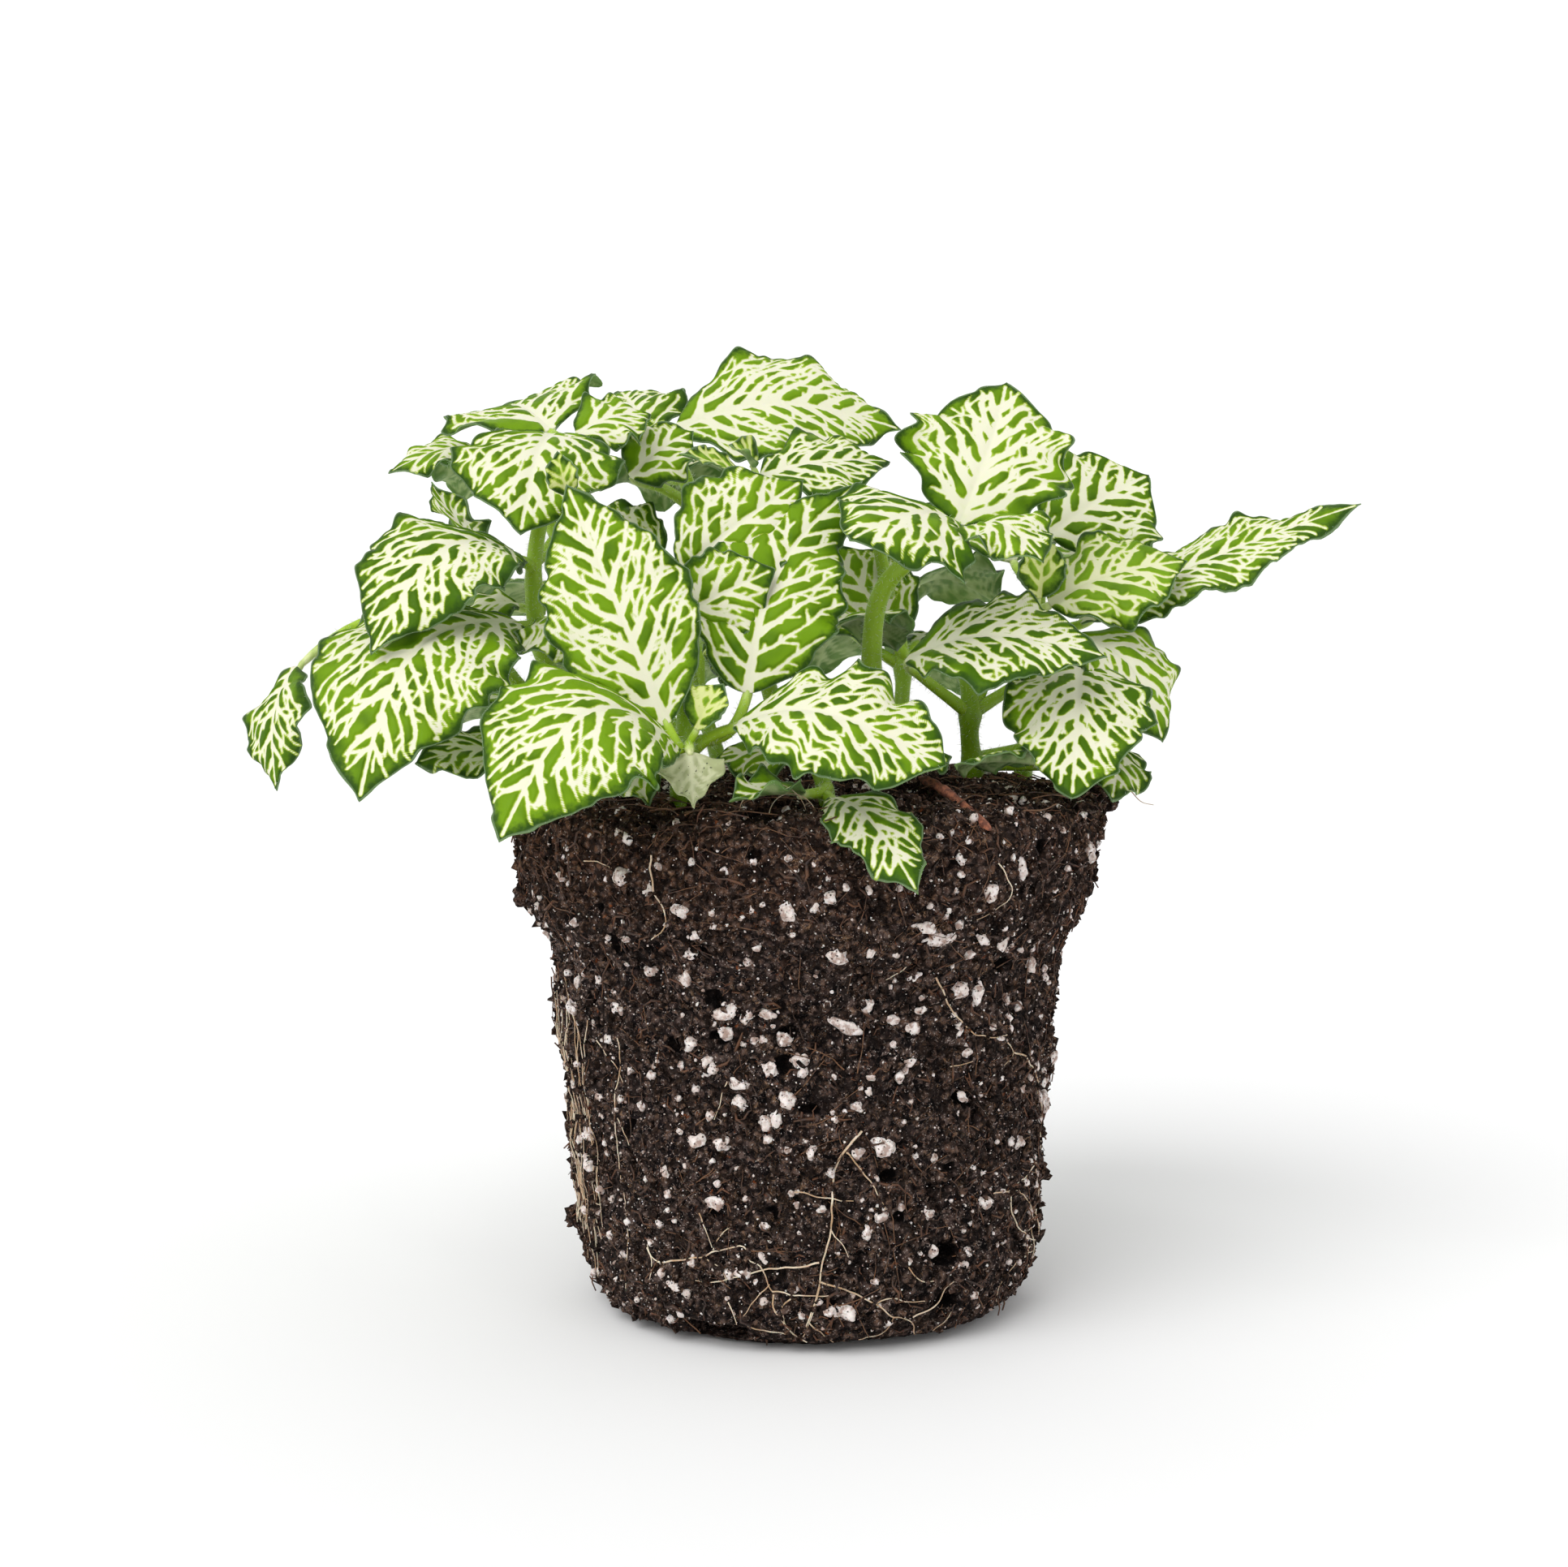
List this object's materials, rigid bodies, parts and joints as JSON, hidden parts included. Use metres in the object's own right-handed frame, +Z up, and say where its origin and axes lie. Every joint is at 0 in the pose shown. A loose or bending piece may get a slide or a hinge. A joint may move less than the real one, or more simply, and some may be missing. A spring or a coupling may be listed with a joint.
{
  "type": "nerve plant with bare root ball",
  "caption": "Bushy nerve plant with white-veined wavy leaves on short hairy stems, standing in a bare pot-shaped root ball of dark peat with white grains and fine roots.",
  "frame": {"origin": "centre of the root ball's flat underside", "axes": "+Z up through the root ball, front as pictured towards -Y, +X to the picture's right"},
  "size_m": [0.215, 0.152, 0.184],
  "materials": {
    "peat": "matte",
    "leaf": "satin",
    "bark": "matte"
  },
  "bodies": {
    "root": {"root_ball": "peat", "shoot_front": "leaf", "shoot_left": "leaf", "shoot_left_low": "leaf", "shoot_left_back": "leaf", "shoot_middle_back": "leaf", "shoot_middle": "leaf", "shoot_rim": "leaf", "shoot_right_middle": "leaf", "shoot_right": "leaf", "shoot_right_back": "leaf", "shoot_back_right": "leaf", "shoot_back_left": "leaf", "twig": "bark"}
  },
  "joints": []
}
